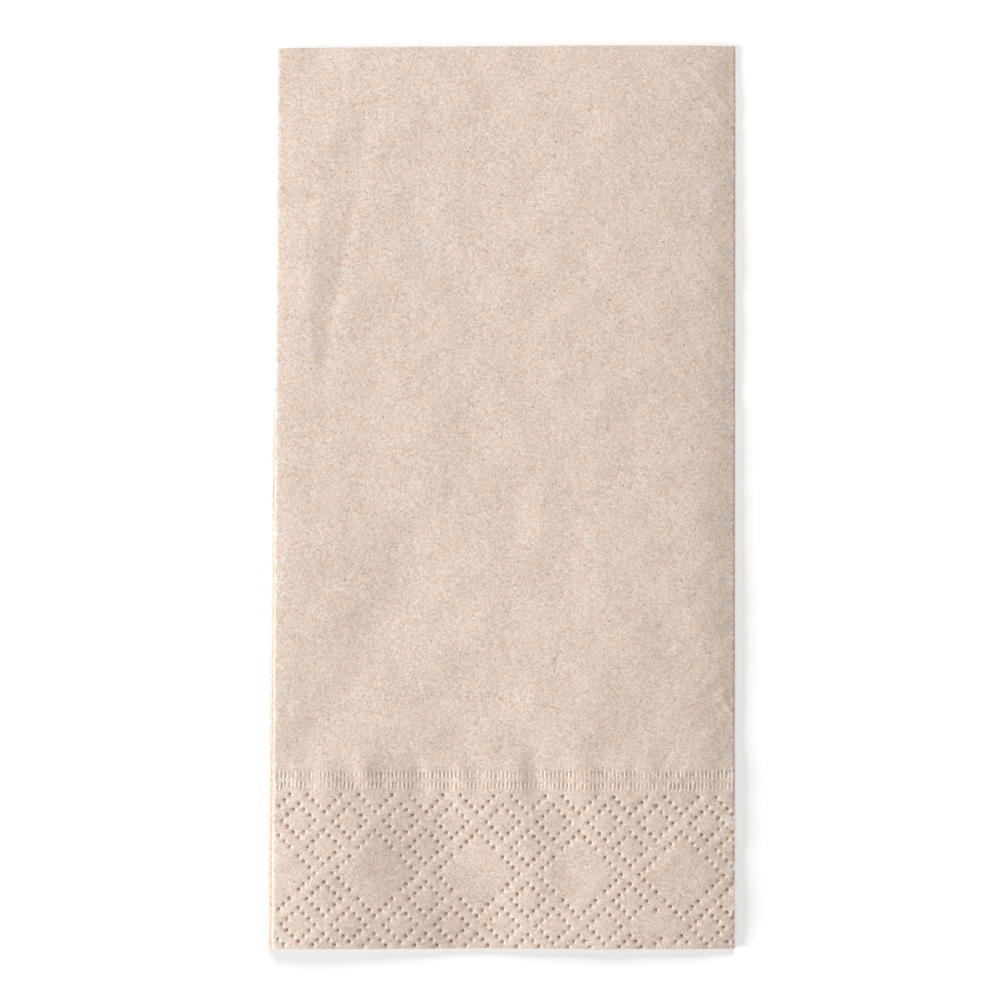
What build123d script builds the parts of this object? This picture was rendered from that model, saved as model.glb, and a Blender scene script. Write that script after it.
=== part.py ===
"""Paper napkin: one square sheet of two-ply tissue, folded three times into a flat eighth.

The sheet is doubled over along its length first, which makes the fold at the far end. The doubled
strip is then folded twice across: the middle fold is the front panel's left edge, and the side fold
is the right edge, round which the front comes over the back. All eight layers end in cut edges at
the near end, where the border is embossed, and the back panel's cut edges lie at the left.

The napkin lies on its back panel, as on a table: +Z is up out of the front panel, +X runs to the
side fold and +Y to the lengthwise fold. The origin is on the table, at the middle of the footprint.
Millimetres.
"""

import os
from math import ceil, floor

from build123d import *

# The sheet and its folds
sheet_thickness = 0.28  # both plies, loose and soft
layer_gap = 0.14  # air between neighbouring layers
folded_length = 200.0  # cut edges at the near end to the lengthwise fold
front_width = 102.0  # middle fold to side fold, outside to outside
outer_edge_step = 1.3  # back panel's outer cut edges past the middle fold, at the near end
inner_edge_step = 0.8  # its inner cut edges, likewise
edge_run_out = 1.7  # how far those cut edges draw back along the napkin, being folded out of square

# The embossing
pressed_thickness = 0.1  # what is left of the sheet at the bottom of a pressed dot or rib
dot_width = 0.9  # across the corners
dot_sides = 4
dot_step_across = 1.216  # from one dot of a diamond to the next
dot_step_up = 1.23
diamond_steps = 3  # from a diamond's middle to its tip
diamond_pitch_across = 11.25  # from one small diamond to the next in its row
diamond_pitch_up = 11.38  # from one row to the next but one
large_diamond_pitch = 4  # in half pitches of the small ones
large_diamond_x = 22.95  # middle of the first whole large diamond, from the middle fold
large_diamond_y = 16.35  # the same, from the near end
border_rows = 3  # rows of small diamonds either side of the large ones' middles
bare_patch_x = 84.4  # middle of the small patch that the roll leaves undotted, from the middle fold
bare_patch_y = 4.8  # the same, from the near end
bare_patch_width = 9.0
bare_patch_height = 5.2
rib_pitch = 0.876
rib_line_width = 1.5
rib_line_heights = (35.9, 38.2)  # from the near end
rib_crest_inset = 0.04  # crests of the ribs below the face of the sheet
tool_rise = 0.1  # how far the pressing shapes stand above the face that they cut

# Sizes that follow from those
pair_thickness = 2 * sheet_thickness + layer_gap
pair_pitch = pair_thickness + layer_gap
stack_height = 3 * pair_pitch + pair_thickness
overall_width = front_width + max(outer_edge_step, inner_edge_step, 0)
near_end = -folded_length / 2
far_end = folded_length / 2
front_right = overall_width / 2
front_left = front_right - front_width

# The two crosswise folds turn about lines along the napkin
side_fold_radius = stack_height / 2
middle_fold_radius = (pair_pitch + pair_thickness) / 2
flat_left = front_left + middle_fold_radius
flat_right = front_right - side_fold_radius
flat_width = flat_right - flat_left
side_fold_axis = Axis((flat_right, 0, stack_height / 2), (0, -1, 0))
middle_fold_axis = Axis((flat_left, 0, stack_height - middle_fold_radius), (0, 1, 0))

press_depth = sheet_thickness - pressed_thickness


def dot_places():
    """Yields each dot's place: outlines of small diamonds, left open in the large ones and the bare patch."""
    half_across = diamond_pitch_across / 2
    half_up = diamond_pitch_up / 2
    middle_x = front_left + large_diamond_x
    middle_y = near_end + large_diamond_y
    patch_x = front_left + bare_patch_x
    patch_y = near_end + bare_patch_y
    first_column = floor((flat_left - middle_x) / half_across) - 1
    last_column = ceil((flat_right - middle_x) / half_across) + 1
    # The small diamonds above, below and beside a large one keep only the half that faces away
    kept_half = {(0, 1): (0, 1), (0, -1): (0, -1), (1, 0): (1, 0), (large_diamond_pitch - 1, 0): (-1, 0)}
    diamond = [
        (across, up)
        for across in range(-diamond_steps, diamond_steps + 1)
        for up in range(-diamond_steps, diamond_steps + 1)
        if abs(across) + abs(up) == diamond_steps
    ]
    for row in range(-border_rows, border_rows + 1):
        for column in range(first_column, last_column + 1):
            if (column + row) % 2 == 0:
                continue
            keep_x, keep_y = kept_half.get((column % large_diamond_pitch, row), (0, 0))
            if row == border_rows:
                keep_y = -1
            for across, up in diamond:
                x = middle_x + column * half_across + across * dot_step_across
                y = middle_y + row * half_up + up * dot_step_up
                on_sheet = abs(x - (flat_left + flat_right) / 2) < (flat_width - dot_width) / 2
                on_sheet = on_sheet and y > near_end + dot_width / 2
                patch_across = (x - patch_x) / (bare_patch_width / 2)
                patch_up = (y - patch_y) / (bare_patch_height / 2)
                in_patch = patch_across**2 + patch_up**2 < 1
                if on_sheet and not in_patch and across * keep_x + up * keep_y >= 0:
                    yield x, y


# The strip seen end on: the sheet doubled over at its lengthwise fold, with Y across the page
with BuildSketch() as doubled_sheet:
    turn_y = far_end - pair_thickness / 2
    with BuildLine():
        near_side = Line((turn_y, 0), (near_end, 0))
        cut_ends = Line(near_side @ 1, (near_end, pair_thickness))
        far_side = Line(cut_ends @ 1, (turn_y, pair_thickness))
        ThreePointArc(far_side @ 1, (far_end, pair_thickness / 2), near_side @ 0)
    make_face()
    with Locations((near_end, pair_thickness / 2)):
        Rectangle(
            folded_length - sheet_thickness,
            layer_gap,
            align=(Align.MIN, Align.CENTER),
            mode=Mode.SUBTRACT,
        )

# One dot of the embossing roll, point down with the sheet's face at its origin
with BuildPart() as dot_tool:
    with BuildSketch(Plane.XY.offset(tool_rise)) as dot_mouth:
        RegularPolygon(dot_width / 2 * (1 + tool_rise / press_depth), dot_sides)
    loft(sections=[dot_mouth.sketch.face(), Vertex(0, 0, -press_depth)])

# A line of ribs on the embossing roll, as long as the front panel is flat
with BuildPart() as rib_tool:
    rib_count = int(flat_width / rib_pitch)
    rib_start = -rib_count * rib_pitch / 2
    rib_end = rib_start + rib_count * rib_pitch
    with BuildSketch(Plane.XZ):
        with BuildLine():
            ridge = [(rib_start, tool_rise), (rib_start, -rib_crest_inset)]
            for rib in range(rib_count):
                ridge.append((rib_start + (rib + 0.5) * rib_pitch, -press_depth))
                ridge.append((rib_start + (rib + 1) * rib_pitch, -rib_crest_inset))
            Polyline(*ridge, (rib_end, tool_rise), close=True)
        make_face()
    extrude(amount=rib_line_width / 2, both=True)

with BuildPart() as napkin:
    # Back panel: two doubled strips, one on the other, out to their cut edges at the left
    with BuildSketch(Plane.YZ.offset(flat_right)) as back_strips:
        with Locations((0, 0), (0, pair_pitch)):
            add(doubled_sheet.sketch)
    extrude(amount=-(flat_right + overall_width / 2))

    # The cut edges stand past the middle fold at the near end and draw back under it
    for level, edge_step in ((0, outer_edge_step), (pair_pitch, inner_edge_step)):
        with BuildSketch(Plane.XY.offset(level - layer_gap / 2)):
            near_edge = front_left - edge_step
            far_edge = near_edge + edge_run_out
            outside = -overall_width
            with BuildLine():
                Polyline(
                    (near_edge, near_end),
                    (far_edge, far_end),
                    (outside, far_end),
                    (outside, near_end),
                    close=True,
                )
            make_face()
        extrude(amount=pair_pitch, mode=Mode.SUBTRACT)

    # Side fold: both strips turn over together, one inside the other
    revolve(back_strips.sketch, axis=side_fold_axis, revolution_arc=180)

    # Front panel: the same two strips come back as far as the middle fold
    with BuildSketch(Plane.YZ.offset(flat_right)):
        with Locations((0, 2 * pair_pitch), (0, 3 * pair_pitch)):
            add(doubled_sheet.sketch)
    extrude(amount=-flat_width)

    # Middle fold: the front's outer strip turns under and becomes the inner one
    with BuildSketch(Plane.YZ.offset(flat_left)):
        with Locations((0, 2 * pair_pitch)):
            add(doubled_sheet.sketch)
    revolve(axis=middle_fold_axis, revolution_arc=180)

    # Border: dotted diamonds below two ribbed lines, pressed into the front panel
    with Locations(*[(x, y, stack_height) for x, y in dot_places()]):
        add(dot_tool.part, mode=Mode.SUBTRACT)
    line_x = (flat_left + flat_right) / 2
    with Locations(*[(line_x, near_end + height, stack_height) for height in rib_line_heights]):
        add(rib_tool.part, mode=Mode.SUBTRACT)

napkin.part.label = "napkin"

os.makedirs("parts", exist_ok=True)
export_step(napkin.part, "parts/napkin.step")
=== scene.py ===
"""A paper napkin folded into a flat eighth, lying on a white table and seen from above."""

import math

import bmesh
import bpy
import numpy as np
from mathutils import Euler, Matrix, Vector
from mathutils.geometry import delaunay_2d_cdt
from mathutils.kdtree import KDTree


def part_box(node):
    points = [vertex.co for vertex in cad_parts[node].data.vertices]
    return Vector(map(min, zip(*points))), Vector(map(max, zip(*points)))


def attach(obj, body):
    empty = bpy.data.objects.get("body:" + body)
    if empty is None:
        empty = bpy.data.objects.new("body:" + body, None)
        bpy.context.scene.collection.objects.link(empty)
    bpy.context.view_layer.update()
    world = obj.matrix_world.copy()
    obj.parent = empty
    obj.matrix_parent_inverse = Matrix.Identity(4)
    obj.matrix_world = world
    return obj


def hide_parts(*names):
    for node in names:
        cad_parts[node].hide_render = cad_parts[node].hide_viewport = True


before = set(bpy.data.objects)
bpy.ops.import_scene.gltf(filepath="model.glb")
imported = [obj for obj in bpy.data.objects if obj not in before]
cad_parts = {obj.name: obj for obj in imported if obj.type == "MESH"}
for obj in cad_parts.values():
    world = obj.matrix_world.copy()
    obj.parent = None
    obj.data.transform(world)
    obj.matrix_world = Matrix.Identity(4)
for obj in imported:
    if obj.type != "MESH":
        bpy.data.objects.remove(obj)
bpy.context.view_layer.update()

# The folded sheet.
# One square of two-ply unbleached tissue. A folding machine doubles it over along its length and then
# folds the strip twice across, so eight layers lie on each other with all their cut edges at the near end.
mm = 0.001
napkin_low, napkin_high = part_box("napkin")
sheet_thickness = 0.28 * mm
layer_gap = 0.14 * mm
strip_thickness = 2 * sheet_thickness + layer_gap
strip_pitch = strip_thickness + layer_gap
stack_height = 3 * strip_pitch + strip_thickness
front_width = 102 * mm
outer_edge_step = 1.3 * mm
inner_edge_step = 0.8 * mm
edge_run_out = 1.7 * mm

near_end = napkin_low.y
far_end = napkin_high.y
length = far_end - near_end
front_right = napkin_high.x
front_left = front_right - front_width

# The folds are pressed sharp, so they reach less far sideways than a round turn would
side_squash = 0.02
middle_squash = 0.65
side_fold_radius = stack_height / 2
middle_fold_radius = (strip_pitch + strip_thickness) / 2
flat_left = front_left + middle_squash * middle_fold_radius
flat_right = front_right - side_squash * side_fold_radius

# Columns follow the doubled strip through its folds, from the back's outer cut edge to its inner one.
# Each holds x at the near end, x at the far end, the height, and the direction across the strip.
columns = []


def flat_run(start, end, height, upward, cells):
    """A flat stretch of strip; start and end give x at the napkin's near and far ends."""
    for share in np.linspace(0, 1, cells + 1)[:-1]:
        near = start[0] + (end[0] - start[0]) * share
        far = start[1] + (end[1] - start[1]) * share
        columns.append((near, far, height, 0.0, upward))


def turn(centre_x, centre_z, radius, squash, start_angle, end_angle, inward, cells):
    """A stretch of strip that goes round a fold."""
    for angle in np.linspace(start_angle, end_angle, cells + 1)[:-1]:
        out_x, out_z = squash * math.cos(angle), math.sin(angle)
        x = centre_x + radius * out_x
        columns.append((x, x, centre_z + radius * out_z, -inward * out_x, -inward * out_z))


hidden_cells = 20
front_cells = 80
side_turn_cells = 14
middle_turn_cells = 10
inner_turn_cells = 8
outer_edge = (front_left - outer_edge_step, front_left - outer_edge_step + edge_run_out)
inner_edge = (front_left - inner_edge_step, front_left - inner_edge_step + edge_run_out)
left_turn, right_turn = (flat_left, flat_left), (flat_right, flat_right)
quarter = math.pi / 2
half_strip = strip_thickness / 2
middle_z = stack_height - middle_fold_radius

flat_run(outer_edge, right_turn, half_strip, 1, hidden_cells)
side_start = len(columns)
turn(flat_right, side_fold_radius, 1.5 * strip_pitch, side_squash, -quarter, quarter, 1, side_turn_cells)
front_start = len(columns)
flat_run(right_turn, left_turn, stack_height - half_strip, -1, front_cells)
front_end = len(columns)
turn(flat_left, middle_z, 0.5 * strip_pitch, middle_squash, quarter, 3 * quarter, 1, middle_turn_cells)
flat_run(left_turn, right_turn, 2 * strip_pitch + half_strip, 1, hidden_cells)
turn(flat_right, side_fold_radius, 0.5 * strip_pitch, side_squash, quarter, -quarter, -1, inner_turn_cells)
flat_run(right_turn, inner_edge, strip_pitch + half_strip, -1, hidden_cells)
columns.append((*inner_edge, strip_pitch + half_strip, 0.0, -1))
columns = np.array(columns)

# Rows follow the sheet round its lengthwise fold, once on its outside and once on its inside.
# One row lies close to the cut edges, so that the layers can be pressed together right behind them.
leg_cells = 40
bend_cells = 6
behind_cut_edge = 0.2 * mm
turn_y = far_end - half_strip
leg = np.insert(np.linspace(near_end, turn_y, leg_cells), 1, near_end + behind_cut_edge)
bend = np.linspace(0, math.pi, bend_cells + 1)[1:-1]


def edge_lean(y):
    """How far the back's cut edges have drawn in on the way from the near end to the far end."""
    return np.interp((y - near_end) / length, (0, 0.15, 0.55, 0.68, 1), (0, 0, 0.4, 0.78, 1))


def sheet_side(reach):
    """One face of the sheet as a grid of points, columns by rows, at a reach from the strip's middle."""
    y = np.concatenate([leg, turn_y + reach * np.sin(bend), leg[::-1]])
    legs_across = np.full(leg_cells + 1, reach)
    across = np.concatenate([-legs_across, -reach * np.cos(bend), legs_across])
    near, far, height, across_x, across_z = (columns[:, [i]] for i in range(5))
    x = near + (far - near) * edge_lean(y) + across * across_x
    z = height + across * across_z
    return np.stack([x, np.broadcast_to(y, x.shape), z], axis=2)


outside = sheet_side(half_strip)
inside = sheet_side(layer_gap / 2)
column_count, row_count = outside.shape[:2]
outside_index = np.arange(column_count * row_count).reshape(column_count, row_count)
inside_index = outside_index + column_count * row_count
points = np.concatenate([outside.reshape(-1, 3), inside.reshape(-1, 3)])

# The front and the back panel are left open here, for the embossed faces below.
# The front's face goes on a few columns round both of its folds.
round_side_fold = 5
round_middle_fold = 3
front_columns = (front_start - round_side_fold, front_end + round_middle_fold)
back_columns = (0, side_start)
open_cell = np.zeros((column_count - 1, row_count - 1), bool)
for first, last in (front_columns, back_columns):
    open_cell[first:last, :leg_cells] = True


def quads(index, kept=None):
    """The faces of a grid of points, four corners each, all of them or those where kept is true."""
    kept = np.ones((len(index) - 1, index.shape[1] - 1), bool) if kept is None else kept
    corners = [index[:-1, :-1], index[1:, :-1], index[1:, 1:], index[:-1, 1:]]
    return np.stack([corner[kept] for corner in corners], axis=1).tolist()


faces = quads(outside_index, ~open_cell) + quads(inside_index)
for end in (0, -1):
    faces += quads(np.stack([outside_index[:, end], inside_index[:, end]], axis=1))
    faces += quads(np.stack([outside_index[end], inside_index[end]], axis=1))

# The embossed border.
# A steel roll presses rows of dots through the plies near the cut edges: small diamonds, left open inside
# the large ones, under two lines of fine ribs that knit the plies together. The paper is not printed.
dot_depth = 0.44 * mm
dot_stretch = (0.96, 1.26)
dot_share = (0.55, 1.25)
dot_slip = 0.04 * mm
dot_step = Vector((1.216, 1.23)) * mm
half_pitch = Vector((5.625, 5.69)) * mm
diamond_steps = 3
large_pitch = 4
large_middle = Vector((front_left + 22.95 * mm, near_end + 16.72 * mm))
border_rows = 3
border_slope = -0.0075
rib_pitch = 0.876 * mm
rib_depth = 0.26 * mm
rib_height = 1.5 * mm
rib_share = (0.4, 1.1)
rib_lines = ((near_end + 36.1 * mm, -0.0046), (near_end + 38.2 * mm, 0.0))
puff_height = 0.14 * mm
puff_past_ribs = 7 * mm
puff_fade = 6 * mm
bare_patch = Vector((34.0, -95.2)) * mm
bare_patch_half = Vector((4.5, 2.6)) * mm
chance = np.random.default_rng(7)
pressed_share = np.zeros(len(points))

# The layers under the front lie closer together, most under the border, all but their edges and folds
packed_by = 0.45 * mm
from_cut_edge = np.array([0, behind_cut_edge, 40 * mm, 45 * mm, 192 * mm, 198 * mm])
packed = np.interp(points[:, 1] - near_end, from_cut_edge, (0, 1, 1, 0.4, 0.4, 0))
packed *= np.interp(points[:, 0] - flat_left, np.array([-0.3, 0.9]) * mm, (0, 1))
packed[outside_index[side_start:front_end + middle_turn_cells, :leg_cells + 1]] = 0
relief = -packed_by * packed * points[:, 2] / stack_height


def smooth_step(value):
    """Eases from 0 to 1 without a corner at either end."""
    value = np.clip(value, 0, 1)
    return value * value * (3 - 2 * value)


def dot_places(left, right, margin):
    """Each dot's place between two lines across the paper, as x, y and a share of the full depth."""
    kept_half = {(0, 1): (0, 1), (0, -1): (0, -1), (1, 0): (1, 0), (large_pitch - 1, 0): (-1, 0)}
    steps = range(-diamond_steps, diamond_steps + 1)
    diamond = [(across, up) for across in steps for up in steps if abs(across) + abs(up) == diamond_steps]
    first = math.floor((left - large_middle.x) / half_pitch.x) - 1
    last = math.ceil((right - large_middle.x) / half_pitch.x) + 1
    places = []
    for row in range(-border_rows, border_rows + 1):
        for column in range(first, last + 1):
            if (column + row) % 2 == 0:
                continue
            keep_x, keep_y = kept_half.get((column % large_pitch, row), (0, 0))
            if row == border_rows:
                keep_y = -1
            for across, up in diamond:
                slip_x, slip_y = chance.normal(0, dot_slip, 2)
                share = chance.uniform(*dot_share)
                x = large_middle.x + column * half_pitch.x + across * dot_step.x + slip_x
                y = large_middle.y + row * half_pitch.y + up * dot_step.y + slip_y
                y += border_slope * (x - front_left)
                from_patch = ((x - bare_patch.x) / bare_patch_half.x, (y - bare_patch.y) / bare_patch_half.y)
                on_paper = left + margin < x < right - margin and y > near_end + margin
                dotted = on_paper and math.hypot(*from_patch) > 1
                if dotted and across * keep_x + up * keep_y >= 0:
                    places.append((x, y, share))
    return places


def dot_points(places, rings):
    """Points round each dot and how deep the paper is pressed at them; a ring is radius, depth and count."""
    found = []
    for x, y, share in places:
        found.append((x, y, dot_depth * share))
        for radius, depth, count in rings:
            for angle in np.linspace(0, 2 * math.pi, count, endpoint=False) + radius / mm:
                ring_x = x + radius * dot_stretch[0] * math.cos(angle)
                ring_y = y + radius * dot_stretch[1] * math.sin(angle)
                found.append((ring_x, ring_y, dot_depth * share * depth))
    return found


def rib_points(left, right):
    """Points along the two ribbed lines and how deep the paper is pressed at them.

    The section goes across one rib, in pitches, and the profile along it, in heights.
    """
    section = ((-0.25, 0.1), (0.0, 0.6), (0.25, 0.1), (0.5, -0.4))
    profile = ((-0.62, 0.0), (-0.4, 0.85), (0.0, 1.0), (0.4, 0.85), (0.62, 0.0))
    found = []
    for height, slope in rib_lines:
        slow, slower = chance.uniform(0, 2 * math.pi, 2)
        for rib in range(math.ceil(left / rib_pitch) + 1, math.floor(right / rib_pitch)):
            share = chance.uniform(*rib_share)
            share += 0.2 * math.sin(rib / 2.3 + slow) + 0.15 * math.sin(rib / 6 + slower)
            slip_across = chance.normal(0, 0.06)
            slip_up = chance.normal(0, 0.08)
            for across, deep in section:
                x = (rib + across + slip_across) * rib_pitch
                for up, kept in profile:
                    y = height + (up + slip_up) * rib_height + slope * (x - front_left)
                    found.append((x, y, rib_depth * deep * kept * share))
    return found


def panel_face(column_range, flat_x, rings, filler_step, puff, extra):
    """Fills an open panel with a face that carries the border and follows extra points, puffed up there."""
    global points, pressed_share, relief
    first, last = column_range
    span = slice(first, last + 1)
    rim_index = np.concatenate([
        outside_index[first:last, 0],
        outside_index[last, :leg_cells],
        outside_index[last:first:-1, leg_cells],
        outside_index[first, leg_cells:0:-1],
    ])
    rim_x = np.concatenate([
        flat_x[:-1],
        np.full(leg_cells, flat_x[-1]),
        flat_x[:0:-1],
        np.full(leg_cells, flat_x[0]),
    ])
    rim = np.stack([rim_x, points[rim_index, 1]], axis=1)

    rim_inset = 0.4 * mm
    dot_inset = 0.25 * mm
    cut_edge_inset = 0.12 * mm
    left, right = flat_x.min() + rim_inset, flat_x.max() - rim_inset
    dot_reach = max(dot_stretch) * max(radius for radius, depth, count in rings)
    places = dot_places(left, right, dot_inset)
    nearest = KDTree(len(places))
    for number, (x, y, share) in enumerate(places):
        nearest.insert((x, y, 0), number)
    nearest.balance()
    lowest = near_end + cut_edge_inset
    pressed = []
    for x, y, depth in dot_points(places, rings):
        if left < x < right and y > lowest:
            pressed.append((x, y, depth))
    pressed += rib_points(left, right)
    for x, y in extra:
        if left < x < right and nearest.find((x, y, 0))[2] > dot_reach:
            pressed.append((x, y, 0.0))
    rib_clear = 0.6 * rib_height + 0.35 * mm
    filler_rows = np.arange(near_end + 0.5 * filler_step, turn_y - 0.3 * mm, filler_step)
    for number, y in enumerate(filler_rows):
        for x in np.arange(left + (number % 2) * filler_step / 2, right, filler_step):
            from_ribs = min(abs(y - height - slope * (x - front_left)) for height, slope in rib_lines)
            if from_ribs < rib_clear:
                continue
            if nearest.find((x, y, 0))[2] > dot_reach + 0.25 * mm:
                pressed.append((x, y, 0.0))
    x, y, depth = np.array(pressed).T
    away = np.array([nearest.find((px, py, 0))[2] for px, py in zip(x, y)])
    border_top = rib_lines[1][0] + puff_past_ribs
    pillow = 1 + 0.3 * smooth_step((away - 0.7 * mm) / (2.2 * mm))
    rise = puff * smooth_step((border_top - y) / puff_fade) * pillow - depth

    flat = np.concatenate([rim, np.stack([x, y], axis=1)]) / mm
    made = delaunay_2d_cdt([Vector(place) for place in flat], [], [list(range(len(rim)))], 1, 1e-6)
    order = np.argsort(flat_x)
    near, far, height, across_x, across_z = (
        np.interp(x, flat_x[order], columns[span][order, i]) for i in range(5)
    )
    bent_x = near + (far - near) * edge_lean(y) - half_strip * across_x
    start = len(points)
    points = np.concatenate([points, np.stack([bent_x, y, height - half_strip * across_z], axis=1)])
    relief = np.concatenate([relief, -rise * across_z])
    rim_across_z = np.interp(rim[:, 0], flat_x[order], columns[span][order, 4])
    relief[rim_index] = -puff * smooth_step((border_top - rim[:, 1]) / puff_fade) * rim_across_z
    pressed_share = np.concatenate([pressed_share, np.clip(depth / dot_depth, 0, 1)])
    number = np.concatenate([rim_index, np.arange(start, len(points))])
    source = np.array([number[origin[0]] for origin in made[3]])
    faces.extend(source[list(face)].tolist() for face in made[2])


# Creases and dents in the front
creases = (
    # height and width in millimetres, then points along the crease
    (0.14, 0.7, ((47.7, 88.2), (49.5, 86.5), (50.8, 85.1))),
    (-0.07, 0.3, ((48.3, 88.8), (50.1, 87.1), (51.4, 85.7))),
    (0.16, 0.9, ((48.9, -44.4), (50.0, -46.4), (51.2, -49.0))),
    (-0.10, 0.35, ((48.7, -46.6), (50.0, -48.0), (51.0, -49.3))),
    (0.10, 0.4, ((-22.1, 99.3), (-21.4, 98.6), (-20.8, 97.9))),
    (0.07, 0.4, ((-7.6, 99.3), (-6.6, 98.2))),
    (0.06, 0.4, ((-3.1, 99.4), (-2.8, 98.5))),
    (0.06, 0.5, ((1.4, 99.2), (2.3, 98.6))),
    (-0.06, 0.4, ((17.5, 99.4), (17.2, 98.6))),
    (-0.14, 1.7, ((-27.6, -82.4), (-26.8, -83.2))),
    (-0.16, 1.9, ((14.4, -82.0), (14.9, -83.0))),
)


def crease_points():
    """Points on both sides of each crease, close enough to show its section."""
    found = []
    for height, width, line in creases:
        for (x0, y0), (x1, y1) in zip(line[:-1], line[1:]):
            run = math.hypot(x1 - x0, y1 - y0)
            across_x, across_y = (y0 - y1) / run, (x1 - x0) / run
            for share in np.linspace(0, 1, max(2, round(run / (1.2 * width))), endpoint=False):
                for side in (-1.6, -0.8, 0, 0.8, 1.6):
                    x = x0 + (x1 - x0) * share + across_x * side * width
                    y = y0 + (y1 - y0) * share + across_y * side * width
                    if y < 99.5:
                        found.append((x * mm, y * mm))
    return found


def fold_points():
    """Points close beside the front's two long folds, which keep the turn of the paper sharp there."""
    found = []
    for y in np.arange(near_end + 0.8 * mm, turn_y - 0.5 * mm, 1.5 * mm):
        for inset in (0.35, 0.05):
            found.append((flat_right - inset * mm, y))
            found.append((flat_left + inset * mm, y))
    return found


# Along the front, x is counted on round the folds, as on the flat sheet.
# Each ring of a dot is its radius, its share of the dot's depth and its count of points.
front_line = outside[front_columns[0]:front_columns[1] + 1, 0][:, [0, 2]]
stepped = np.concatenate([[0], np.cumsum(np.linalg.norm(np.diff(front_line, axis=0), axis=1))])
front_x = flat_right + stepped[front_start - front_columns[0]] - stepped
fine_rings = ((0.2 * mm, 0.96, 6), (0.36 * mm, 0.5, 8), (0.49 * mm, 0.04, 10), (0.64 * mm, 0.0, 10))
panel_face(front_columns, front_x, fine_rings, 0.84 * mm, puff_height, crease_points() + fold_points())
back_x = columns[back_columns[0]:back_columns[1] + 1, 0]
coarse_rings = ((0.25 * mm, 0.8, 5), (0.5 * mm, 0.0, 7))
panel_face(back_columns, back_x, coarse_rings, 2.2 * mm, 0, [])

# How the paper lies.
# The stack is thinner towards its pressed folds, a long soft fold from an earlier bend runs down from the
# far end, the thin cut edges at the left droop, and the soft sheet swells, cockles and creases all over.
long_fold_y = np.array([27.8, 34.4, 40.2, 48.8, 57.0, 65.8, 74.7, 87.3, 97.0]) * mm
long_fold_ridge = np.array([-41.5, -42.6, -42.5, -42.0, -41.3, -40.6, -38.6, -36.6, -35.0]) * mm
long_fold_foot = np.array([-39.8, -38.3, -37.4, -35.8, -34.5, -32.5, -31.4, -29.8, -28.5]) * mm
swells = (
    # height and half width in millimetres, then points along the crest or, below zero, the hollow
    (1.1, 16.0, ((-37.0, -98.0), (-37.5, -76.0))),
    (-1.0, 11.0, ((-4.0, -96.0), (-6.0, -87.0), (-10.5, -80.0), (-14.5, -73.0), (-17.5, -64.0))),
    (-0.5, 6.0, ((16.5, -86.0), (16.0, -80.0), (14.5, -73.0), (10.5, -66.0), (9.0, -62.0))),
    (0.4, 10.0, ((23.0, -33.0), (16.0, -50.0))),
    (-0.35, 9.0, ((-5.0, -46.0), (-5.0, -53.0))),
    (-0.55, 12.0, ((-20.0, -13.0), (-23.0, -27.0), (-34.0, -41.0), (-40.0, -52.0))),
    (-0.26, 5.0, ((-22.0, -18.0), (-27.5, -27.0))),
    (0.12, 3.5, ((8.6, 0.0), (8.3, -10.0))),
    (-0.12, 3.5, ((3.4, 0.0), (3.1, -10.0))),
    (0.2, 10.0, ((47.0, 4.0), (47.0, -32.0))),
    (-0.35, 9.0, ((-43.0, 99.0), (-43.0, 94.0))),
    (0.25, 7.0, ((-16.0, 22.0), (-18.0, 10.0), (-19.0, 2.0))),
    (0.13, 4.0, ((-13.0, 66.0), (-13.7, 54.0))),
    (0.1, 2.0, ((-40.7, -60.0), (-40.2, -65.0))),
    (0.13, 1.6, ((-30.1, -60.0), (-29.6, -65.0))),
    (-0.22, 2.2, ((-18.0, -60.0), (-17.2, -65.0))),
    (0.2, 2.2, ((-8.8, -60.0), (-8.0, -65.0))),
    (-0.24, 2.2, ((7.4, -59.5), (8.1, -66.0))),
    (0.1, 1.5, ((12.2, -60.0), (12.6, -64.0))),
)


def off_line(x, y, line):
    """Each point's distance from a line through a few points in millimetres."""
    least = np.full_like(x, 1.0)
    for (x0, y0), (x1, y1) in zip(line[:-1], line[1:]):
        along_x, along_y = (x1 - x0) * mm, (y1 - y0) * mm
        share = ((x - x0 * mm) * along_x + (y - y0 * mm) * along_y) / (along_x ** 2 + along_y ** 2)
        share = np.clip(share, 0, 1)
        least = np.minimum(least, np.hypot(x - x0 * mm - share * along_x, y - y0 * mm - share * along_y))
    return least


def cockle(x, y, shortest, longest, waves, seed, headings=(0, 360)):
    """Random soft waves over the sheet, about one high, that run within a range of headings."""
    draw = np.random.default_rng(seed)
    total = np.zeros_like(x)
    for wave in range(waves):
        size = draw.uniform(shortest, longest) * mm
        heading = math.radians(draw.uniform(*headings))
        phase = draw.uniform(0, 2 * math.pi)
        total += np.cos((x * math.cos(heading) + y * math.sin(heading)) * 2 * math.pi / size + phase)
    return total * math.sqrt(2 / waves)


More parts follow.
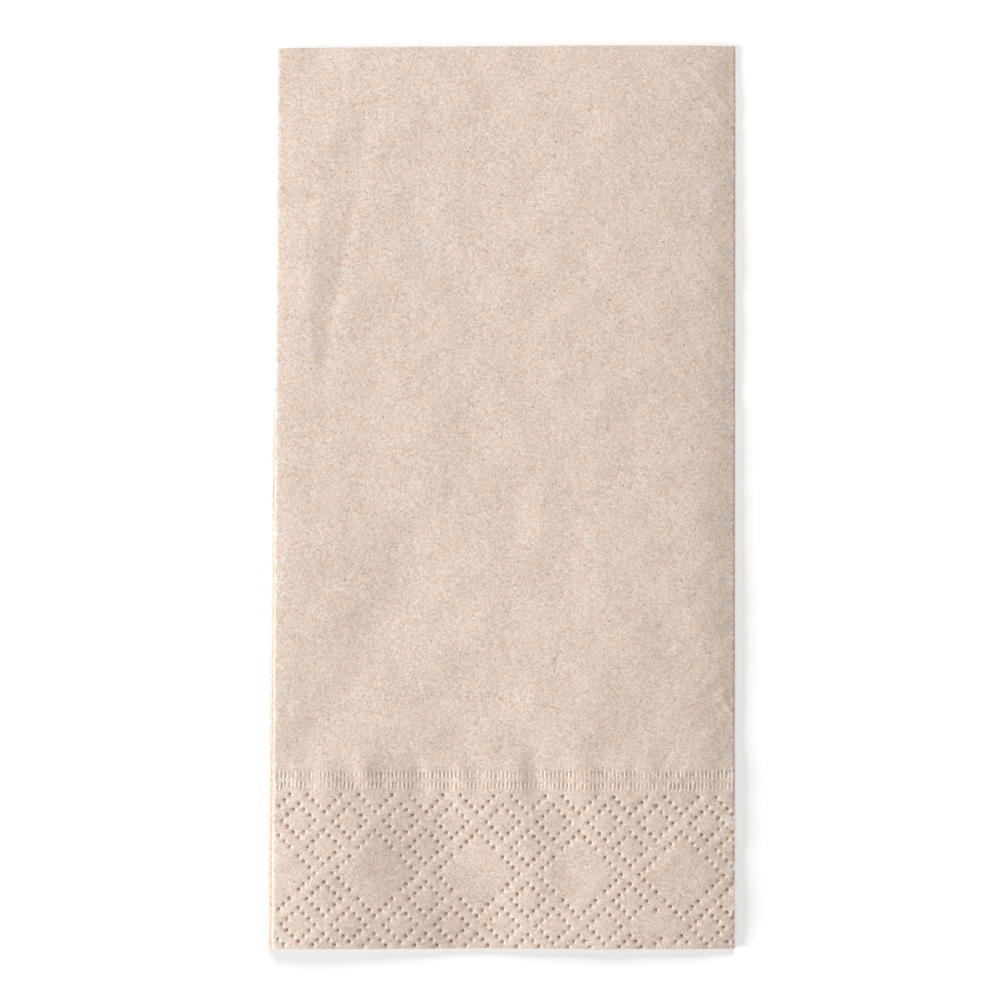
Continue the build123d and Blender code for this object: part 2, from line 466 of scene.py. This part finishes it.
def settle(place):
    """Moves points of the neatly folded stack to where the soft, pressed paper lies."""
    x, y, z = place.T

    # How far each point is on its way out to an edge, or into the border
    side = np.clip((x - 20 * mm) / (front_right - 20 * mm), 0, 1)
    middle = np.clip((front_left + 6 * mm - x) / (6 * mm), 0, 1)
    far = np.clip((y - far_end + 20 * mm) / (20 * mm), 0, 1)
    near = np.clip((near_end + 8 * mm - y) / (8 * mm), 0, 1)
    past = np.clip((front_left + 0.2 * mm - x) / (1.4 * mm), 0, 1)
    in_border = smooth_step((near_end + 46 * mm - y) / (10 * mm))

    # How much thinner than a loose stack it lies, in millimetres until the last line
    steepest = 0.95
    side_bend = np.where(side < steepest, side ** 8, steepest ** 7 * (8 * side - 7 * steepest))
    side_bend -= 45 * np.maximum(side - steepest, 0) ** 2
    lower = smooth_step((10 * mm - y) / (40 * mm))
    to_side = 1.1 * (1 - 0.3 * lower - 0.15 * in_border) * side ** 2
    to_side += 0.75 * (1 - 0.45 * in_border) * side_bend
    high_up = smooth_step((y - 20 * mm) / (30 * mm))
    to_edges = (0.23 - 0.11 * high_up - 0.12 * in_border) * middle ** 2
    to_edges += (0.3 - 0.12 * in_border) * past
    to_edges += 0.45 * far ** 2 + 0.15 * near ** 2
    drop = (0.4 + 0.4 * in_border + to_side + to_edges) * mm

    # The long soft fold: it climbs slowly to its ridge and drops to its foot
    ridge = np.interp(y, long_fold_y, long_fold_ridge)
    foot = np.interp(y, long_fold_y, long_fold_foot)
    steep_y = np.array([22, 30, 40, 60, 80, 98]) * mm
    steep = np.interp(y, steep_y, (0, 0.11, 0.1, 0.05, 0.05, 0))
    high = steep * (foot - ridge)
    up_slope = np.clip((x - ridge + 12 * mm) / (12 * mm), 0, 1)
    down_slope = np.clip((foot - x) / (foot - ridge), 0, 1)
    past_foot = np.maximum(x - foot, 0)
    foot_swell = 0.4 * (1 - np.exp(-past_foot / (2 * mm))) * smooth_step(1 - past_foot / (15 * mm))
    lift = high * (np.minimum(up_slope, down_slope) + foot_swell)

    # Cockles of all sizes, stronger at the ribs and slanting along the side fold
    lift += 0.013 * mm * cockle(x, y, 2.5, 6, 40, 17)
    lift += 0.06 * mm * cockle(x, y, 8, 20, 30, 3)
    lift += 0.06 * mm * cockle(x, y, 22, 60, 14, 5)
    at_ribs = np.exp(-((y - near_end - 38 * mm) / (5 * mm)) ** 2)
    lift += 0.065 * mm * at_ribs * cockle(x, 0.4 * y, 5, 13, 16, 11)
    lift += 0.012 * mm * at_ribs * cockle(x, 0.4 * y, 2.5, 5, 16, 23)
    upper = smooth_step((y + 10 * mm) / (20 * mm))
    lift += 0.03 * mm * side * upper * cockle(x, y, 2.8, 5, 16, 13, (25, 60))
    lift += 0.022 * mm * side * (1 - upper) * cockle(x, y, 2.8, 5, 16, 29, (-60, -25))
    for height, width, line in creases + swells:
        lift += height * mm * np.exp(-(off_line(x, y, line) / (width * mm)) ** 2)

    # Past the middle fold there is only the back panel, whose layers' cut edges lie slightly stepped
    in_strip = z % strip_pitch
    new_x = x + 0.45 * past * in_strip

    # The sheet was folded a little out of square
    new_x += 0.0009 * (y - near_end) * (x - front_left) / front_width
    new_y = y + 0.0047 * x
    new_z = z * (1 - drop / stack_height) + lift * z / stack_height
    return np.stack([new_x, new_y, new_z], axis=1)


points = settle(points)
points[:, 2] = np.maximum(points[:, 2] + relief, 0)

napkin_mesh = bpy.data.meshes.new("napkin")
napkin_mesh.from_pydata(points.tolist(), [], faces)
napkin_mesh.attributes.new("pressed", "FLOAT", "POINT").data.foreach_set("value", pressed_share)
shaping = bmesh.new()
shaping.from_mesh(napkin_mesh)
bmesh.ops.delete(shaping, geom=[point for point in shaping.verts if not point.link_faces], context="VERTS")
bmesh.ops.recalc_face_normals(shaping, faces=shaping.faces)
shaping.to_mesh(napkin_mesh)
shaping.free()
napkin_mesh.shade_smooth()
napkin_mesh.set_sharp_from_angle(angle=math.radians(65))
napkin = bpy.data.objects.new("folded_napkin", napkin_mesh)
bpy.context.scene.collection.objects.link(napkin)

# The paper itself.
# Soft unbleached tissue: pale brown, matt, a felt of fine fibres with a few darker ones and specks of bark,
# and a slightly cloudy tone where the fibres lie thicker.
paper_colour = (0.745, 0.612, 0.525, 1)
thin_cloud = (0.79, 0.665, 0.585, 1)
thick_cloud = (0.66, 0.52, 0.42, 1)
warm_fibre = (0.82, 0.575, 0.40, 1)
grey_fibre = (0.68, 0.635, 0.61, 1)
# Painted shade for the felt's sunken gaps and a painted highlight for its raised fibres
painted_fibre_gap_shade = (0.44, 0.31, 0.23, 1)
painted_fibre_highlight = (0.95, 0.87, 0.80, 1)
rusty_patch = (0.72, 0.47, 0.30, 1)
strand_brown = (0.58, 0.34, 0.20, 1)
bark_black = (0.24, 0.17, 0.13, 1)
bark_brown = (0.38, 0.22, 0.13, 1)
# Pressed grey is partly a painted sheen on the dots' walls; pressed brown is painted shade at the bottoms of
# the pits
pressed_grey_and_painted_sheen = (0.62, 0.60, 0.58, 1)
painted_pit_shade = (0.95, 0.53, 0.28, 1)
paper = bpy.data.materials.new("tissue")
paper.use_nodes = True
nodes, links = paper.node_tree.nodes, paper.node_tree.links
surface = nodes["Principled BSDF"]
surface.inputs["Specular IOR Level"].default_value = 0.5
place = nodes.new("ShaderNodeTexCoord")


def noise(scale, detail, turned=0, offset=0, curl=0):
    """A cloud of grey over the paper, with that many grains to the metre along and across its grain."""
    mapping = nodes.new("ShaderNodeMapping")
    mapping.vector_type = "TEXTURE"
    mapping.inputs["Location"].default_value = (offset, offset, 0)
    mapping.inputs["Rotation"].default_value = (0, 0, math.radians(turned))
    mapping.inputs["Scale"].default_value = (1 / scale[0], 1 / scale[1], 1 / scale[1])
    links.new(place.outputs["Object"], mapping.inputs["Vector"])
    node = nodes.new("ShaderNodeTexNoise")
    node.inputs["Scale"].default_value = 1
    node.inputs["Detail"].default_value = detail
    node.inputs["Roughness"].default_value = 0.6
    node.inputs["Distortion"].default_value = curl
    links.new(mapping.outputs["Vector"], node.inputs["Vector"])
    return node.outputs["Fac"]


def combine(operation, first, second):
    """Two amounts worked together; the second may be a number."""
    node = nodes.new("ShaderNodeMath")
    node.operation = operation
    links.new(first, node.inputs[0])
    if isinstance(second, (int, float)):
        node.inputs[1].default_value = second
    else:
        links.new(second, node.inputs[1])
    return node.outputs[0]


def part_of(value, low, high, most):
    """How far a value is from low to high, as an amount from 0 to most."""
    node = nodes.new("ShaderNodeMapRange")
    node.inputs["From Min"].default_value = low
    node.inputs["From Max"].default_value = high
    node.inputs["To Max"].default_value = most
    links.new(value, node.inputs["Value"])
    return node.outputs["Result"]


def tint(colour, amount, shade):
    """Turns the colour so far towards a shade by an amount that varies over the paper."""
    node = nodes.new("ShaderNodeMix")
    node.data_type = "RGBA"
    colour_in, shade_in = (socket for socket in node.inputs if socket.type == "RGBA")
    if isinstance(colour, tuple):
        colour_in.default_value = colour
    else:
        links.new(colour, colour_in)
    shade_in.default_value = shade
    links.new(amount, node.inputs["Factor"])
    return next(socket for socket in node.outputs if socket.type == "RGBA")


def specks(cells, kept, size):
    """Round spots on the paper: so many cells to the metre, the share of cells with one, and its radius."""
    node = nodes.new("ShaderNodeTexVoronoi")
    node.voronoi_dimensions = "2D"
    node.inputs["Scale"].default_value = cells
    links.new(place.outputs["Object"], node.inputs["Vector"])
    split = nodes.new("ShaderNodeSeparateColor")
    links.new(node.outputs["Color"], split.inputs["Color"])
    chosen = combine("LESS_THAN", split.outputs["Red"], kept)
    spot = part_of(node.outputs["Distance"], size * cells, 0.55 * size * cells, 1)
    return combine("MULTIPLY", spot, chosen)


def strands(turned, offset):
    """Sparse straight fibres, a few millimetres long, that lie one way."""
    return part_of(noise((300, 3400), 0, turned, offset), 0.79, 0.85, 0.6)


felt = [noise((1150, 4200), 1.5, turned, 0.3, 0.4) for turned in (15, 75, 135)]
raised = combine("MAXIMUM", combine("MAXIMUM", felt[0], felt[1]), felt[2])
sunken = combine("MINIMUM", combine("MINIMUM", felt[0], felt[1]), felt[2])
colour = tint(paper_colour, part_of(noise((105, 105), 5), 0.36, 0.68, 0.6), thin_cloud)
colour = tint(colour, part_of(noise((260, 260), 3, 0, 0.7), 0.5, 0.72, 0.35), thick_cloud)
for grains, offset, most in ((1700, 0.9, 0.6), (420, 0.2, 0.35)):
    hue = noise((grains, grains), 2, 0, offset)
    colour = tint(colour, part_of(hue, 0.5, 0.75, most), warm_fibre)
    colour = tint(colour, part_of(hue, 0.5, 0.25, most), grey_fibre)
# Painted shade darkens the felt where it lies sunken, and a painted highlight lightens it where it stands
# raised, following the felt that also makes the bump
colour = tint(colour, part_of(sunken, 0.46, 0.22, 0.85), painted_fibre_gap_shade)
colour = tint(colour, part_of(raised, 0.55, 0.78, 0.8), painted_fibre_highlight)
colour = tint(colour, part_of(noise((900, 900), 2, 0, 0.5), 0.56, 0.72, 0.5), rusty_patch)
for turned, offset in ((35, 0.11), (80, 0.23), (125, 0.37), (160, 0.41)):
    colour = tint(colour, strands(turned, offset), strand_brown)
colour = tint(colour, specks(420, 0.02, 0.2 * mm), bark_black)
colour = tint(colour, specks(260, 0.03, 0.24 * mm), bark_brown)

# Pressed paper is darker and smoother. The grey on the dots' walls is partly a painted sheen, and the deep
# brown at their bottoms is painted shade in the pits
pressed = nodes.new("ShaderNodeAttribute")
pressed.attribute_name = "pressed"
colour = tint(colour, part_of(pressed.outputs["Fac"], 0.2, 0.5, 0.65), pressed_grey_and_painted_sheen)
colour = tint(colour, part_of(pressed.outputs["Fac"], 0.45, 0.75, 0.42), painted_pit_shade)
gloss = nodes.new("ShaderNodeMapRange")
gloss.inputs["From Max"].default_value = 0.4
gloss.inputs["To Min"].default_value = 0.85
gloss.inputs["To Max"].default_value = 0.38
links.new(pressed.outputs["Fac"], gloss.inputs["Value"])
links.new(gloss.outputs["Result"], surface.inputs["Roughness"])
links.new(colour, surface.inputs["Base Color"])

# The fibres' own roughness, too fine for the mesh
felt_height = combine("ADD", combine("ADD", felt[0], felt[1]), felt[2])
bump = nodes.new("ShaderNodeBump")
bump.inputs["Strength"].default_value = 0.8
bump.inputs["Distance"].default_value = 0.03 * mm
links.new(felt_height, bump.inputs["Height"])
links.new(bump.outputs["Normal"], surface.inputs["Normal"])
napkin_mesh.materials.append(paper)

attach(napkin, "root")
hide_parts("napkin")

# The table.
# A plain white square under the napkin. It shows white to the camera and keeps the soft shadow.
table_mesh = bpy.data.meshes.new("table")
table_half = 4.0
table_drop = -0.05 * mm
table_mesh.from_pydata(
    [(x * table_half, y * table_half, table_drop) for x, y in ((-1, -1), (1, -1), (1, 1), (-1, 1))],
    [],
    [(0, 1, 2, 3)],
)
table = bpy.data.objects.new("table", table_mesh)
bpy.context.scene.collection.objects.link(table)
table_white = bpy.data.materials.new("table_white")
table_white.use_nodes = True
nodes, links = table_white.node_tree.nodes, table_white.node_tree.links
nodes.remove(nodes["Principled BSDF"])
lit = nodes.new("ShaderNodeBsdfDiffuse")
lit.inputs["Color"].default_value = (0.8, 0.8, 0.8, 1)
seen = nodes.new("ShaderNodeBsdfDiffuse")
seen.inputs["Color"].default_value = (0.75, 0.75, 0.75, 1)
glow = nodes.new("ShaderNodeEmission")
glow.inputs["Strength"].default_value = 0.34
both = nodes.new("ShaderNodeAddShader")
links.new(seen.outputs[0], both.inputs[0])
links.new(glow.outputs[0], both.inputs[1])
ray = nodes.new("ShaderNodeLightPath")
choose = nodes.new("ShaderNodeMixShader")
links.new(ray.outputs["Is Camera Ray"], choose.inputs["Fac"])
links.new(lit.outputs[0], choose.inputs[1])
links.new(both.outputs[0], choose.inputs[2])
links.new(choose.outputs[0], nodes["Material Output"].inputs["Surface"])
table_mesh.materials.append(table_white)

# The light.
# One soft lamp low at the left, which picks out the embossing, a higher one beyond the far end, and an
# even, slightly warm fill all round.
world = bpy.data.worlds.new("studio")
bpy.context.scene.world = world
world.use_nodes = True
nodes, links = world.node_tree.nodes, world.node_tree.links
fill = nodes["Background"]
fill.inputs["Color"].default_value = (1, 0.88, 0.76, 1)
fill.inputs["Strength"].default_value = 0.165
backdrop = nodes.new("ShaderNodeBackground")
backdrop.inputs["Color"].default_value = (1, 1, 1, 1)
backdrop.inputs["Strength"].default_value = 1
ray = nodes.new("ShaderNodeLightPath")
choose = nodes.new("ShaderNodeMixShader")
links.new(ray.outputs["Is Camera Ray"], choose.inputs["Fac"])
links.new(fill.outputs[0], choose.inputs[1])
links.new(backdrop.outputs[0], choose.inputs[2])
links.new(choose.outputs[0], nodes["World Output"].inputs["Surface"])


def lamp(name, distance, height_angle, side_angle, size, brightness):
    """A square lamp aimed at the napkin; brightness is what it adds to a white sheet lying flat."""
    rise, side = math.radians(height_angle), math.radians(side_angle)
    light = bpy.data.lights.new(name, "AREA")
    light.size = size
    light.color = (0.955, 0.978, 1)
    light.energy = brightness * (math.pi * distance) ** 2 / math.sin(rise)
    holder = bpy.data.objects.new(name, light)
    holder.location = distance * Vector((
        math.cos(rise) * math.cos(side),
        math.cos(rise) * math.sin(side),
        math.sin(rise),
    ))
    holder.rotation_euler = holder.location.to_track_quat("Z", "Y").to_euler()
    bpy.context.scene.collection.objects.link(holder)


lamp("left_lamp", 1.8, 19, 195, 0.9, 0.46)
lamp("far_lamp", 2.2, 38, 88, 1.2, 0.485)

# The camera, straight above but for a degree or two, on a long lens
camera = bpy.data.cameras.new("camera")
camera.lens = 100
camera.sensor_width = 36
camera.clip_start = 0.01
camera_object = bpy.data.objects.new("camera", camera)
camera_object.location = Vector((15.98, -21.72, 616.63)) * mm
camera_object.rotation_euler = Euler([math.radians(angle) for angle in (1.925, 1.506, 0.182)])
bpy.context.scene.collection.objects.link(camera_object)
bpy.context.scene.camera = camera_object
bpy.context.scene.view_settings.view_transform = "Standard"
